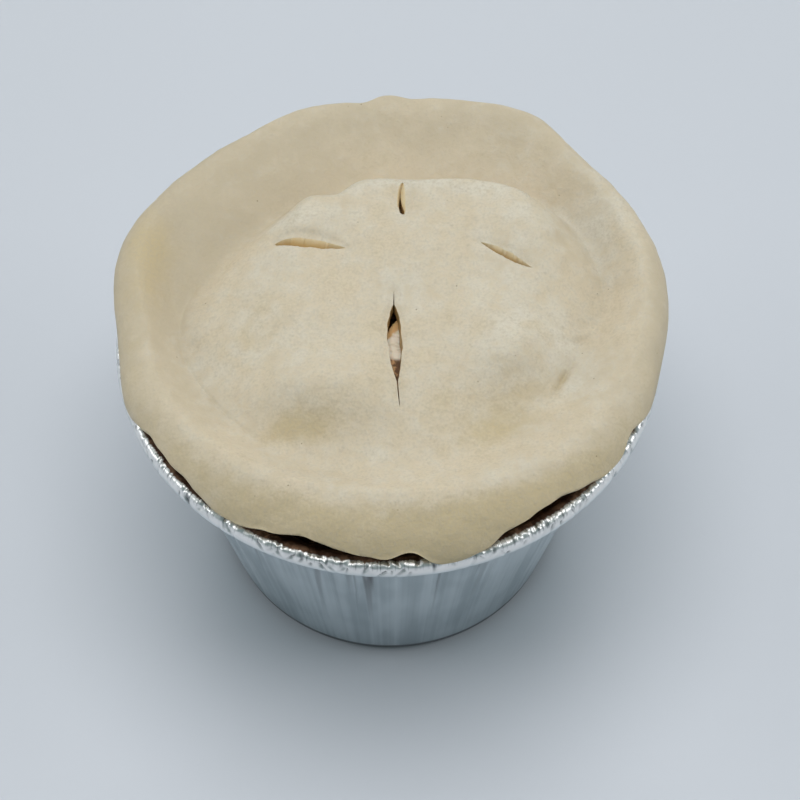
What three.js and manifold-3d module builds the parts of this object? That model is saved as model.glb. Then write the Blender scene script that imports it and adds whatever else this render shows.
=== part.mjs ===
// Chicken pot pie: a pleated foil cup, the filling that fills it and a draped raw pastry lid.
// Millimetres, +Z up. The origin is the middle of the cup's flat base.
// The longest vent slit is towards -Y.
import * as THREE from 'three';
import { mergeVertices } from 'three/addons/utils/BufferGeometryUtils.js';
import Module from 'manifold-3d';

// Foil cup
const RIM_RADIUS = 51;
const RIM_HEIGHT = 63.75;
const RIM_ROLL_RADIUS = 1.8;
const RIM_CRIMP_DEPTH = 0.12;
const FOIL_THICKNESS = 0.4;
const BASE_FLAT_RADIUS = 31.9;
const BASE_WALL_RADIUS = 34;
const BASE_FILLET_HEIGHT = 2.2;
const WALL_TOP_RADIUS = 45.2;
const WALL_TOP_DROP = 5;
const FLARE_RADIUS = 46.7;
const FLARE_DROP = 2.6;
const PLEAT_COUNT = 56;
const PLEAT_DEPTH = 0.8;
const PLEAT_LEAST_SHARE = 0.15;
const PLEAT_UNEVENNESS = 0.8;
const PLEAT_SEED = 17;

// Pastry lid, with heights above the middle of the rolled rim
const LID_SIDES = 64;
const DOUGH_THICKNESS = 3;
const MOUND_TOP = 12.4;
const MOUND_FOOT_SOFTNESS = 0.15;
const SLOPE_FOOT_SOFTNESS = 0.25;
const SLOPE_CREST_START = 0.88;
const SLOPE_CREST_SOFTNESS = 0.1;
const LID_MOUND_RINGS = 13;
const MOUND_RING_CROWDING = 1.4;
const LID_SLOPE_RINGS = 5;
const LID_EDGE_RINGS = 5;
const LID_HEM_RINGS = 3;
const LID_UNDER_RINGS = 12;
const LID_SEAT_RINGS = 3;
const SEAT_RADIUS = 44;
const SEAT_HEIGHT = 1;

// Clear gap kept between pieces that touch
const FIT_GAP = 0.3;

// Round the pie a value is its base plus local swells of [angle in degrees, spread in degrees, amount].
// Angles turn from +X towards +Y.
const OUTER_RADIUS = {
  base: 51.2,
  swells: [
    [58, 13, 2.4], [47, 6, -0.5], [30, 9, 0.5], [13, 15, 1.2], [-12, 9, -0.5], [160, 14, 1.6],
    [184, 10, -1.1], [95, 14, -1.6], [92, 5, 0.8], [124, 13, -1.4], [138, 6, -0.6],
    [150, 8, -0.6], [-168, 8, -0.7],
  ],
};
const EDGE_WIDTH = { base: 3.2, swells: [[90, 45, -1.4], [180, 40, 1.5], [0, 35, 0.9], [-90, 56, 7.2]] };
const EDGE_FLATNESS = { base: 1, swells: [[-90, 55, 0.3]] };
const BULGE_LEVEL = { base: 0.42, swells: [[-90, 75, -0.34]] };
const CREST_HEIGHT = { base: 10.2, swells: [[58, 14, 0.8], [157, 14, 0.5], [-90, 50, 0.8]] };
const HEM_TRIM = {
  base: 0,
  swells: [
    [-150, 6, 0.2], [-140, 9, 0.29], [-127, 7, 0.08], [-108, 13, 0.38], [-93, 6, 0.14], [-85, 4, 0.26],
    [-65, 7, 0.26], [-54, 8, 0.36], [-44, 6, 0.18], [-36, 4, 0.05], [-29, 5, 0.29],
  ],
};
const HEM_TUCK = { base: 1.4, swells: [[-90, 50, -0.4]] };
const HEM_HEIGHT = 2.25;
const MOUND_RADIUS = {
  base: 34.5,
  swells: [
    [33, 22, 5.5], [5, 16, 4.6], [85, 26, -3.2], [112, 8, -3.2],
    [140, 26, -3.4], [185, 24, 4.0], [-135, 26, 1.3], [-45, 30, -2.2],
  ],
};
const MOUND_SLOPE_WIDTH = { base: 26, swells: [[50, 48, -20], [125, 45, -18], [-90, 60, 4]] };
const TROUGH_HEIGHT = { base: 3.6, swells: [[90, 45, -2.0], [-90, 45, 3.0]] };

// Lumps and hollows pressed up through the dough: place, half length and half width, turn, height
const LUMPS = [
  { x: -12.5, y: -19.5, along: 11.5, across: 6.2, turn: 0, height: 3.9 },
  { x: 24, y: -11, along: 9.5, across: 6.5, turn: 30, height: 3.9 },
  { x: 25, y: 4, along: 7, across: 6, turn: 0, height: -0.8 },
  { x: 2, y: -14, along: 4, across: 14, turn: 0, height: -0.7 },
  { x: -15, y: 17.5, along: 9, across: 4.5, turn: 10, height: 1.3 },
  { x: 23, y: 17, along: 12, across: 6, turn: -25, height: 0.9 },
  { x: 3, y: 12, along: 9, across: 9, turn: 0, height: 0.8 },
  { x: -41, y: 8, along: 3.5, across: 11, turn: 0, height: -1.8 },
];

// Vent slits: both ends on plan, the widest opening and how far the middle bows to the left of the cut
const SLITS = [
  { from: [1.1, 0.8], to: [2.0, -20.4], width: 2.8, bow: -0.3 },
  { from: [2.6, 25.6], to: [2.6, 17.6], width: 1.6, bow: 0 },
  { from: [-21.2, 12.5], to: [-7.8, 10.8], width: 2.3, bow: 0.7 },
  { from: [16.8, 12.3], to: [26.6, 6.9], width: 1.5, bow: 0.1 },
];
const SLIT_CURVE_STEPS = 8;
const SLIT_DEPTH_BELOW_RIM = 6;
const SLIT_HEIGHT = 30;

// Hollow under the widest slit, where the filling sags away from the dough
const SAG = { x: 1.8, y: -5, radius: 6.5, depth: 4 };

const wasm = await Module();
wasm.setup();

// Shapes shared by the pieces

function around(angle, { base, swells }) {
  const degrees = THREE.MathUtils.radToDeg(angle);
  return swells.reduce((sum, [at, spread, amount]) => {
    const gap = THREE.MathUtils.euclideanModulo(degrees - at + 180, 360) - 180;
    return sum + amount * Math.exp(-((gap / spread) ** 2));
  }, base);
}

// Zero before its start, then a straight climb, with the corner between them rounded off.
function softClimb(along, softness) {
  return 0.5 * (along + Math.hypot(along, softness));
}

function evenAngles(count) {
  return Array.from({ length: count }, (_, k) => (2 * Math.PI * k) / count);
}

// A closed solid from rings of points. Each ring gives [radius, height] for an angle and its index.
// The first ring closes on the axis at startHeight and the last one at endHeight.
function ringSolid(angles, rings, startHeight, endHeight) {
  const count = angles.length;
  const positions = [0, 0, startHeight];
  for (const ring of rings) {
    angles.forEach((angle, k) => {
      const [radius, height] = ring(angle, k);
      positions.push(radius * Math.cos(angle), radius * Math.sin(angle), height);
    });
  }
  const last = positions.length / 3;
  positions.push(0, 0, endHeight);
  const vertex = (row, k) => 1 + row * count + (k % count);
  const triangles = [];
  for (let k = 0; k < count; k += 1) {
    triangles.push(0, vertex(0, k), vertex(0, k + 1));
    for (let row = 0; row + 1 < rings.length; row += 1) {
      triangles.push(vertex(row, k), vertex(row + 1, k), vertex(row + 1, k + 1));
      triangles.push(vertex(row, k), vertex(row + 1, k + 1), vertex(row, k + 1));
    }
    triangles.push(last, vertex(rings.length - 1, k + 1), vertex(rings.length - 1, k));
  }
  const geometry = new THREE.BufferGeometry();
  geometry.setAttribute('position', new THREE.Float32BufferAttribute(positions, 3));
  geometry.setIndex(triangles);
  return geometry;
}

function toManifold(geometry) {
  const bare = geometry.clone();
  bare.deleteAttribute('normal');
  bare.deleteAttribute('uv');
  const welded = mergeVertices(bare, 1e-5);
  return new wasm.Manifold(new wasm.Mesh({
    numProp: 3,
    vertProperties: new Float32Array(welded.attributes.position.array),
    triVerts: new Uint32Array(welded.index.array),
  }));
}

function toGeometry(solid) {
  const mesh = solid.getMesh();
  const geometry = new THREE.BufferGeometry();
  geometry.setAttribute('position', new THREE.BufferAttribute(mesh.vertProperties, 3));
  geometry.setIndex(new THREE.BufferAttribute(mesh.triVerts, 1));
  return geometry;
}

function piece(name, geometry, color, roughness, metalness) {
  geometry.computeVertexNormals();
  const material = new THREE.MeshStandardMaterial({ color, roughness, metalness });
  const mesh = new THREE.Mesh(geometry, material);
  mesh.name = name;
  return mesh;
}

// Foil cup

// Uneven pleats: alternating folds at seeded angles, each with its own depth, the ridges at no depth.
function pleatFolds() {
  let state = PLEAT_SEED;
  const draw = () => {
    state = (Math.imul(state, 1664525) + 1013904223) >>> 0;
    return state / 2 ** 32;
  };
  const step = Math.PI / PLEAT_COUNT;
  return Array.from({ length: 2 * PLEAT_COUNT }, (_, k) => ({
    angle: (k + PLEAT_UNEVENNESS * (draw() - 0.5)) * step,
    depth: k % 2 === 0 ? 0 : PLEAT_DEPTH * THREE.MathUtils.lerp(PLEAT_LEAST_SHARE, 1, draw()),
    crimp: RIM_CRIMP_DEPTH * (2 * draw() - 1),
  }));
}

const WALL_TOP_HEIGHT = RIM_HEIGHT - WALL_TOP_DROP;
const ROLL_CENTRE = RIM_RADIUS - RIM_ROLL_RADIUS;

function wallRadius(height) {
  const rise = (height - BASE_FILLET_HEIGHT) / (WALL_TOP_HEIGHT - BASE_FILLET_HEIGHT);
  return BASE_WALL_RADIUS + (WALL_TOP_RADIUS - BASE_WALL_RADIUS) * rise;
}

function foilCup() {
  const folds = pleatFolds();
  // Pleats are flat at the base fillet and deepest at the top of the wall
  const pleatGrowth = (height) => (height - BASE_FILLET_HEIGHT) / WALL_TOP_HEIGHT;
  const wall = (height, inset) => (angle, k) => {
    return [wallRadius(height) - inset - folds[k].depth * pleatGrowth(height), height];
  };
  const fillet = (turn, inset) => () => {
    const reach = BASE_WALL_RADIUS - BASE_FLAT_RADIUS;
    const radius = BASE_FLAT_RADIUS + reach * Math.sin(turn) - inset * Math.sin(turn);
    return [radius, BASE_FILLET_HEIGHT * (1 - Math.cos(turn)) + inset * Math.cos(turn)];
  };
  const flareHeight = RIM_HEIGHT - FLARE_DROP;
  const flare = (inset) => (angle, k) => [FLARE_RADIUS - inset - folds[k].depth / 2, flareHeight];
  const roll = (degrees) => (angle, k) => {
    const turn = THREE.MathUtils.degToRad(degrees);
    const radius = RIM_ROLL_RADIUS + folds[k].crimp * Math.max(0, Math.sin(turn));
    return [ROLL_CENTRE + radius * Math.cos(turn), RIM_HEIGHT + radius * Math.sin(turn)];
  };
  const wallHeights = [BASE_FILLET_HEIGHT, 0.35 * WALL_TOP_HEIGHT, WALL_TOP_HEIGHT];
  const filletTurns = [0, Math.PI / 5, Math.PI / 3];
  const rollDegrees = [190, 150, 115, 80, 45, 10, -30, -75, -115];
  const rings = [
    ...filletTurns.map((turn) => fillet(turn, FOIL_THICKNESS)),
    ...wallHeights.map((height) => wall(height, FOIL_THICKNESS)),
    flare(FOIL_THICKNESS),
    ...rollDegrees.map(roll),
    flare(0),
    ...wallHeights.map((height) => wall(height, 0)).reverse(),
    ...filletTurns.map((turn) => fillet(turn, 0)).reverse(),
  ];
  return ringSolid(folds.map(({ angle }) => angle), rings, FOIL_THICKNESS, 0);
}

// Pastry lid

function lumpHeight(x, y) {
  return LUMPS.reduce((sum, lump) => {
    const turn = THREE.MathUtils.degToRad(lump.turn);
    const dx = x - lump.x;
    const dy = y - lump.y;
    const u = (dx * Math.cos(turn) + dy * Math.sin(turn)) / lump.along;
    const v = (dy * Math.cos(turn) - dx * Math.sin(turn)) / lump.across;
    return sum + lump.height * Math.exp(-(u * u + v * v));
  }, 0);
}

// The mound rises from its foot at footRadius to its flat top, convex, with a soft crease at the foot.
function moundRise(angle, radius, footRadius) {
  const depth = (footRadius - radius) / around(angle, MOUND_SLOPE_WIDTH);
  return 1 - (1 - Math.min(softClimb(depth, MOUND_FOOT_SOFTNESS), 1)) ** 2;
}

// The ring's slope climbs from a soft crease at the mound's foot and levels off at its crest.
function ringClimb(along) {
  const climb = (place) => {
    const levelled = softClimb(place - SLOPE_CREST_START, SLOPE_CREST_SOFTNESS);
    return softClimb(place, SLOPE_FOOT_SOFTNESS) - levelled;
  };
  return climb(along) / climb(1);
}

function crestRadius(angle) {
  return around(angle, OUTER_RADIUS) - around(angle, EDGE_WIDTH);
}

// Height of the dough's upper face: the ring slopes from its crest to the trough, then the mound rises.
function lidTop(angle, radius) {
  const foot = around(angle, MOUND_RADIUS);
  const trough = around(angle, TROUGH_HEIGHT);
  const crest = around(angle, CREST_HEIGHT);
  const slope = (crest - trough) * ringClimb((radius - foot) / (crestRadius(angle) - foot));
  const mound = (MOUND_TOP - trough) * moundRise(angle, radius, foot);
  const lumps = lumpHeight(radius * Math.cos(angle), radius * Math.sin(angle));
  return RIM_HEIGHT + trough + slope + mound + lumps;
}

// Height of the dough's lower face, one thickness under the mound, then level out to the seat on the rim.
function lidUnder(angle, radius) {
  const foot = around(angle, MOUND_RADIUS);
  const trough = around(angle, TROUGH_HEIGHT) - DOUGH_THICKNESS;
  const mound = (MOUND_TOP - trough - DOUGH_THICKNESS) * moundRise(angle, radius, foot - DOUGH_THICKNESS);
  const seat = (SEAT_HEIGHT - trough) * Math.max(0, (radius - foot) / (SEAT_RADIUS - foot));
  const spread = THREE.MathUtils.clamp((foot - radius) / DOUGH_THICKNESS, 0, 1);
  const lumps = spread * lumpHeight(radius * Math.cos(angle), radius * Math.sin(angle));
  return RIM_HEIGHT + trough + mound + seat + lumps;
}

// Rings on the mound follow its foot and crowd towards it
function moundRingRadius(angle, index, count) {
  const inward = 1 - (index + 1) / count;
  return around(angle, MOUND_RADIUS) * (1 - inward ** MOUND_RING_CROWDING);
}

// Rings of the lower face, from the middle out to the seat
function underRings(drop) {
  const inner = Array.from({ length: LID_UNDER_RINGS }, (_, i) => (angle) => {
    const radius = moundRingRadius(angle, i, LID_UNDER_RINGS);
    return [radius, lidUnder(angle, radius) - drop(angle, radius)];
  });
  const seat = Array.from({ length: LID_SEAT_RINGS }, (_, i) => (angle) => {
    const foot = around(angle, MOUND_RADIUS);
    const radius = foot + ((SEAT_RADIUS - foot) * (i + 1)) / LID_SEAT_RINGS;
    return [radius, lidUnder(angle, radius) - drop(angle, radius)];
  });
  return [...inner, ...seat];
}

function lidBlank() {
  const mound = Array.from({ length: LID_MOUND_RINGS }, (_, i) => (angle) => {
    const radius = moundRingRadius(angle, i, LID_MOUND_RINGS);
    return [radius, lidTop(angle, radius)];
  });
  const slope = Array.from({ length: LID_SLOPE_RINGS }, (_, i) => (angle) => {
    const foot = around(angle, MOUND_RADIUS);
    const radius = foot + ((crestRadius(angle) - foot) * (i + 1)) / LID_SLOPE_RINGS;
    return [radius, lidTop(angle, radius)];
  });
  const hemDrop = (angle) => {
    return around(angle, BULGE_LEVEL) * (lidTop(angle, crestRadius(angle)) - RIM_HEIGHT - HEM_HEIGHT);
  };
  // The wall curves out and down from the crest, and is trimmed short where the hem lifts off the rim
  const wallPoint = (angle, share) => {
    const crest = crestRadius(angle);
    const crestHeight = lidTop(angle, crest);
    const bulge = RIM_HEIGHT + HEM_HEIGHT + hemDrop(angle);
    const flatness = around(angle, EDGE_FLATNESS);
    const turn = (Math.PI / 2) * share * (1 - around(angle, HEM_TRIM));
    const across = Math.sin(turn) ** flatness;
    const down = Math.max(0, Math.cos(turn)) ** flatness;
    return [crest + (around(angle, OUTER_RADIUS) - crest) * across, bulge + (crestHeight - bulge) * down];
  };
  const edge = Array.from({ length: LID_EDGE_RINGS }, (_, i) => (angle) => {
    return wallPoint(angle, (i + 1) / LID_EDGE_RINGS);
  });
  const hem = Array.from({ length: LID_HEM_RINGS }, (_, i) => (angle) => {
    const [radius, height] = wallPoint(angle, 1);
    const turn = (Math.PI / 2) * ((i + 1) / LID_HEM_RINGS);
    const inward = around(angle, HEM_TUCK) * (1 - Math.cos(turn));
    return [radius - inward, height - hemDrop(angle) * Math.sin(turn)];
  });
  const rings = [...mound, ...slope, ...edge, ...hem, ...underRings(() => 0).reverse()];
  return ringSolid(evenAngles(LID_SIDES), rings, lidTop(0, 0), lidUnder(0, 0));
}

// A slit's cutter: a bowed leaf shape on plan, extruded up through the dough.
function slitCutter({ from, to, width, bow }) {
  const start = new THREE.Vector2(...from);
  const end = new THREE.Vector2(...to);
  const middle = start.clone().add(end).multiplyScalar(0.5);
  const along = end.clone().sub(start).normalize();
  const side = new THREE.Vector2(-along.y, along.x);
  const leftControl = middle.clone().addScaledVector(side, 2 * bow + width);
  const rightControl = middle.clone().addScaledVector(side, 2 * bow - width);
  const leaf = new THREE.Shape();
  leaf.moveTo(start.x, start.y);
  leaf.quadraticCurveTo(rightControl.x, rightControl.y, end.x, end.y);
  leaf.quadraticCurveTo(leftControl.x, leftControl.y, start.x, start.y);
  const geometry = new THREE.ExtrudeGeometry(leaf, {
    depth: SLIT_HEIGHT,
    curveSegments: SLIT_CURVE_STEPS,
    bevelEnabled: false,
  });
  geometry.translate(0, 0, RIM_HEIGHT - SLIT_DEPTH_BELOW_RIM);
  return geometry;
}

function pastryLid() {
  const cutters = SLITS.map((slit) => toManifold(slitCutter(slit)));
  const cut = cutters.reduce((solid, cutter) => solid.subtract(cutter), toManifold(lidBlank()));
  return toGeometry(cut);
}

// Filling

function filling() {
  const sag = (angle, radius) => {
    const gap = Math.hypot(radius * Math.cos(angle) - SAG.x, radius * Math.sin(angle) - SAG.y);
    return FIT_GAP + SAG.depth * Math.exp(-((gap / SAG.radius) ** 2));
  };
  const clearance = FOIL_THICKNESS + PLEAT_DEPTH + FIT_GAP;
  const floor = FOIL_THICKNESS + FIT_GAP;
  const side = (height) => () => [Math.min(SEAT_RADIUS, wallRadius(height) - clearance), height];
  const rings = [
    ...underRings(sag),
    side(WALL_TOP_HEIGHT),
    side(BASE_FILLET_HEIGHT + floor),
    () => [BASE_FLAT_RADIUS, floor],
  ];
  return ringSolid(evenAngles(LID_SIDES), rings, lidUnder(0, 0) - sag(0, 0), floor);
}

const pie = new THREE.Group();
pie.add(
  piece('foil_cup', foilCup(), 0xbcc4ca, 0.3, 1),
  piece('filling', filling(), 0xb08f66, 0.6, 0),
  piece('pastry_lid', pastryLid(), 0xcbc2ad, 0.75, 0),
);

export default pie;
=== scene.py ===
"""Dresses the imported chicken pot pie: a raw pastry lid with vent slits, the filling and a foil cup.

Sizes inside the classes are millimetres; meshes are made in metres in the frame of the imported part.
Angles round the pie turn from +X towards +Y. The camera and the longest slit are on the -Y side.
"""

import logging
import math
from dataclasses import dataclass, field
from enum import Enum
from typing import Any, ClassVar, Iterable, Sequence, Union

import bpy
import numpy as np
from mathutils import Matrix, Vector, noise

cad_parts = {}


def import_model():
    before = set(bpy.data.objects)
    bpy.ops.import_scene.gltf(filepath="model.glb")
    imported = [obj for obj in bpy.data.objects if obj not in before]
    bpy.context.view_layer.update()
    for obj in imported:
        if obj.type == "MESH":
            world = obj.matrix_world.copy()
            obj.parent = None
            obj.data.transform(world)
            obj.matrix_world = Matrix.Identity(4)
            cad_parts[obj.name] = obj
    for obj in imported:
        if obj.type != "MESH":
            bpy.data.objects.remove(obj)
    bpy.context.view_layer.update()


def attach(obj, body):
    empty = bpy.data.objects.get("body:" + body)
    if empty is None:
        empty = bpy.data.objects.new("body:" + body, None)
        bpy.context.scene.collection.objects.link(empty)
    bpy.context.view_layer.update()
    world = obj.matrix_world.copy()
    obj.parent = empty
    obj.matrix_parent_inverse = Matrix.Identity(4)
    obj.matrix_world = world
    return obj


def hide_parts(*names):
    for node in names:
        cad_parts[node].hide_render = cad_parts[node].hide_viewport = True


LOG = logging.getLogger("pot_pie")
MM = 0.001
FULL_TURN = 2.0 * math.pi
BODY = "root"
RIM_RADIUS = 51.0

Triple = tuple[float, float, float]
Colour = Triple
Point = tuple[float, float]
Span = tuple[float, float]
Ring = Union[float, np.ndarray]


class Node(Enum):
    """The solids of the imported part."""

    FOIL = "foil_cup"
    FILLING = "filling"
    LID = "pastry_lid"


class Slot(Enum):
    """The material slots of the part's record."""

    FOIL = "foil"
    FILLING = "filling"
    DOUGH = "dough"


class Mask(Enum):
    """Values kept on the vertices of a mesh for its finish."""

    FLOUR = "flour"
    # Yellower tone of soaked dough, partly painted shade on the front wall and in the troughs in
    # front of the lumps.
    MOIST_AND_SHADE = "moist_and_shade"
    # Darker, greyer dough tone, partly painted shade along the ring and in its hollows.
    DAMP_AND_SHADE = "damp_and_shade"
    DEEP = "deep"
    FLESH = "flesh"
    SEAR = "sear"
    # Where the rim's painted highlight lies, and a weaker one on the top of the wall.
    RIM_HIGHLIGHT = "gather"
    CRIMP = "crimp"
    # Painted shade in creases, nicks and the base corner, lessened by a painted highlight beside each
    # crease.
    CREASE_SHADE = "crease"
    # Brown grease inside the rim, partly a painted reflection of the shaded dough.
    GREASE_AND_REFLECTION = "grease_and_reflection"


# Shapes shared by the pieces


def smooth_step(value: np.ndarray, low: float, high: float) -> np.ndarray:
    """Eases from 0 to 1 between two limits.

    Args:
        value: The numbers to ease.
        low: Where the step starts.
        high: Where the step ends.

    Returns:
        Numbers from 0 to 1.
    """
    part = np.clip((value - low) / (high - low), 0.0, 1.0)
    return part * part * (3.0 - 2.0 * part)


def soft_climb(along: np.ndarray, softness: float) -> np.ndarray:
    """Zero before the start, then a straight climb, with the corner between them rounded off.

    Args:
        along: Distance past the start.
        softness: Size of the rounded corner.

    Returns:
        The height climbed.
    """
    return 0.5 * (along + np.hypot(along, softness))


def ripple(points: np.ndarray, size: float, seed: float) -> np.ndarray:
    """Smooth noise of about one unit either way.

    Args:
        points: Places in millimetres, three columns.
        size: Width of one ripple in millimetres.
        seed: Moves the noise to another part of its field.

    Returns:
        One number for each place.
    """
    shift = Vector((seed, -2.0 * seed, 3.0 * seed))
    scaled = points / size
    return np.array([noise.noise(Vector(place) + shift) for place in scaled])


def turn_angles(count: int) -> np.ndarray:
    """Angles in radians of evenly spaced points once round the pie."""
    return np.arange(count) * FULL_TURN / count


def angle_gaps(angles: np.ndarray, middles: np.ndarray) -> np.ndarray:
    """Turns in radians from each middle to each angle, one row for each middle."""
    return (angles[None, :] - middles[:, None] + math.pi) % FULL_TURN - math.pi


@dataclass(frozen=True)
class Swells:
    """A value round the pie: a base plus swells of (angle, spread, amount), angles in degrees."""

    base: float
    bumps: tuple[tuple[float, float, float], ...] = ()

    def at(self, angle: np.ndarray) -> np.ndarray:
        """Works the value out at some angles.

        Args:
            angle: Angles in radians.

        Returns:
            One value for each angle.
        """
        degrees = np.degrees(angle)
        value = np.full_like(degrees, self.base)
        for middle, spread, amount in self.bumps:
            gap = (degrees - middle + 180.0) % 360.0 - 180.0
            value = value + amount * np.exp(-((gap / spread) ** 2))
        return value


@dataclass(frozen=True)
class Lump:
    """A soft oval swelling on plan, or a hollow where its height is negative."""

    STEEPNESS: ClassVar[float] = 0.6

    x: float
    y: float
    along: float
    across: float
    turn: float
    height: float

    def spread(self, x: np.ndarray, y: np.ndarray) -> np.ndarray:
        """Squared distance from the middle, one at the oval's own half sizes.

        Args:
            x: Places on plan, left to right.
            y: Places on plan, front to back.

        Returns:
            One number for each place.
        """
        turn = math.radians(self.turn)
        across_x, across_y = x - self.x, y - self.y
        u = (across_x * math.cos(turn) + across_y * math.sin(turn)) / self.along
        v = (across_y * math.cos(turn) - across_x * math.sin(turn)) / self.across
        return u * u + v * v

    def rise(self, x: np.ndarray, y: np.ndarray) -> np.ndarray:
        """Height of a bell shaped swelling at places on plan."""
        return self.height * np.exp(-self.spread(x, y))

    def dome(self, x: np.ndarray, y: np.ndarray) -> np.ndarray:
        """Height of a rounded morsel with steep sides at places on plan."""
        return self.height * np.clip(1.0 - self.spread(x, y), 0.0, None) ** self.STEEPNESS


def total_rise(lumps: Iterable[Lump], x: np.ndarray, y: np.ndarray) -> np.ndarray:
    """Adds up the bell shaped swellings of some lumps at places on plan."""
    return sum(lump.rise(x, y) for lump in lumps)


@dataclass(frozen=True)
class Slit:
    """A vent slit: a bowed leaf on plan with ragged lips, which may end in hairline tails.

    Its walls close in from the lips to a share of the width at some depth and lean to one side.
    """

    LEAST_SHARE: ClassVar[float] = 0.02
    ROLL_SHARE: ClassVar[float] = 0.25
    LIP_SHIFT: ClassVar[float] = 3.0
    NICKS: ClassVar[tuple[Point, ...]] = ((4.0, 1.0), (15.0, 0.6))

    start: Point
    end: Point
    width: float
    bow: float
    start_taper: float
    end_taper: float
    deep_taper: float
    ragged: float
    closing: float
    shut: float
    lean: float
    seed: float
    shoal: float = 0.0
    rounding: float = 0.0
    start_tail: float = 0.0
    end_tail: float = 0.0
    hairline: float = 0.0

    def frame(self) -> tuple[Vector, Vector, Vector, float]:
        """Gives the slit's own axes.

        Returns:
            Its middle, the direction along it, the direction to its left and its length.
        """
        start, end = Vector(self.start), Vector(self.end)
        along = (end - start).normalized()
        return (start + end) / 2.0, along, Vector((-along.y, along.x)), (end - start).length

    def leaf(self, place: Ring, pinch: float = 1.0) -> Ring:
        """Share of the full width along the slit, an open leaf between two hairline tails.

        Args:
            place: Place along the slit, from -1 at its start to 1 at its end.
            pinch: How much longer the taper at the start is drawn out.

        Returns:
            A share from 0 at both ends to 1.
        """
        open_length = 1.0 - self.start_tail - self.end_tail
        along = np.clip(((1.0 + place) / 2.0 - self.start_tail) / open_length, 0.0, 1.0)
        rise, fall = self.start_taper * pinch, self.end_taper
        widest = rise / (rise + fall)
        most = widest ** rise * (1.0 - widest) ** fall
        opened = along ** rise * (1.0 - along) ** fall / most
        return np.maximum(opened, self.hairline * np.sqrt(1.0 - np.square(place)))

    def outline(self, steps: int, openness: float, shift: float, pinch: float) -> np.ndarray:
        """Draws the leaf, one lip from start to end and the other one back.

        Args:
            steps: Number of spans along each lip.
            openness: Share of its width at this depth of the dough.
            shift: Share of its width that this depth is moved to the left.
            pinch: How much longer the taper at the start is drawn out at this depth.

        Returns:
            Points on plan, once round, each with the share of the full depth that it has.
        """
        middle, along, side, length = self.frame()
        points = []
        for sign in (-1.0, 1.0):
            for step in range(steps):
                place = sign * (1.0 - 2.0 * step / steps)
                swing = 1.0 - place * place
                nicks = sum(
                    share * noise.noise(Vector((pace * place, self.LIP_SHIFT * sign, self.seed)))
                    for pace, share in self.NICKS
                )
                half_width = self.width / 2.0 + self.ragged * nicks
                half = openness * self.leaf(place, pinch) * half_width
                across = sign * half + (self.bow + shift * self.width) * swing
                spot = middle + along * (place * length / 2.0) + side * across
                depth_share = max(self.leaf(place), self.LEAST_SHARE) ** self.shoal
                points.append((spot.x, spot.y, depth_share))
        return np.array(points)

    def levels(self, deep: float, over: float) -> tuple[tuple[float, float, float, float], ...]:
        """Lists the blade's levels from the lowest.

        Args:
            deep: Depth of the blade's foot below the dough's surface.
            over: Height of its top above the surface.

        Returns:
            Depth, openness, shift and pinch of each level.
        """
        slope = (1.0 - self.shut) / self.closing
        return (
            (deep, self.shut, self.lean, self.deep_taper),
            (self.closing, self.shut, self.lean, self.deep_taper),
            (0.0, 1.0, 0.0, 1.0),
            (-over, 1.0 + slope * over, -self.lean * over / self.closing, 1.0),
        )

    def lips(self, x: np.ndarray, y: np.ndarray, drop: float, reach: float) -> np.ndarray:
        """Depth that the dough sinks beside the slit, a little further on the slit's left.

        Args:
            x: Places on plan, left to right.
            y: Places on plan, front to back.
            drop: Depth at both lips.
            reach: Width of the sunk lips.

        Returns:
            One depth for each place.
        """
        middle, along, side, length = self.frame()
        u = (x - middle.x) * along.x + (y - middle.y) * along.y
        v = (x - middle.x) * side.x + (y - middle.y) * side.y
        place = np.clip(2.0 * u / length, -1.0, 1.0)
        bowed = self.bow * (1.0 - place * place)
        share = self.leaf(place)
        beside = np.clip(np.abs(v - bowed) - self.width / 2.0 * share, 0.0, None)
        beyond = np.clip(np.abs(u) - length / 2.0, 0.0, None)
        left = smooth_step(v - bowed, 0.0, self.ROLL_SHARE * self.width)
        rolled = self.rounding * np.sqrt(share) * left
        return (drop + rolled) * np.exp(-((np.hypot(beside, beyond) / reach) ** 2))


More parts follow.
